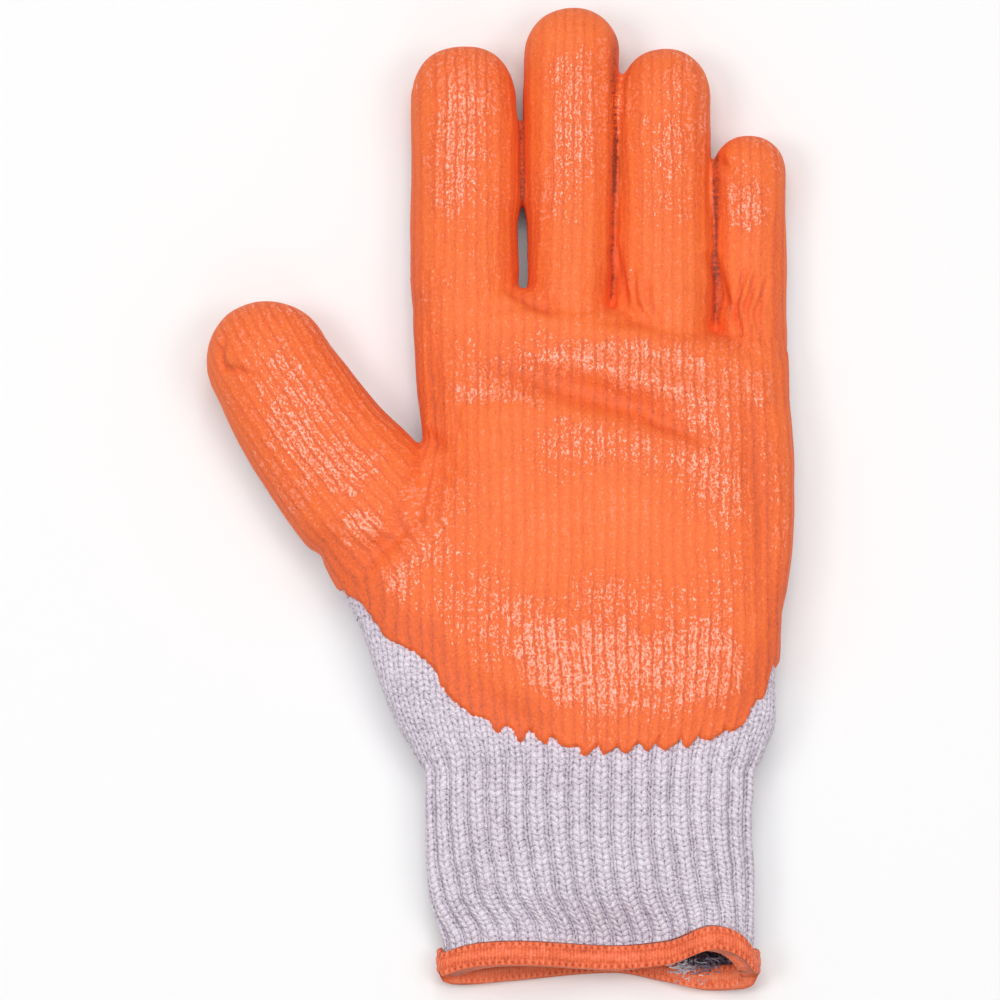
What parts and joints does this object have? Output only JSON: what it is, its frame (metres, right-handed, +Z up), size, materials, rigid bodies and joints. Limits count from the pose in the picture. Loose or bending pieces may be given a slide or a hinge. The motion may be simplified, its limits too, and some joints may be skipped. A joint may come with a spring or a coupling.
{
  "type": "latex coated grip glove",
  "caption": "Left-hand work glove of seamless string knit with a latex dip over the palm and fingertips, a ribbed knit cuff and a sewn hem, lying palm up",
  "frame": {"origin": "the middle of the glove's own box in X and Y, on the table that its back lies on", "axes": "+X to the little finger's side, +Y to the fingertips, +Z up, out of the palm"},
  "size_m": [0.1476, 0.2488, 0.027],
  "materials": {
    "knit": "matt cotton and polyester string knit, off-white with a lilac cast",
    "hem_thread": "orange overlock thread",
    "latex": "glossy orange latex that shows the knit under it"
  },
  "bodies": {
    "root": {"heel_knit": "knit", "palm_knit": "knit", "knuckle_knit": "knit", "thumb_stall": "knit", "index_stall": "knit", "middle_stall": "knit", "ring_stall": "knit", "little_stall": "knit", "rib_cuff": "knit", "sewn_hem": "hem_thread", "latex_coating": "latex"}
  },
  "joints": []
}
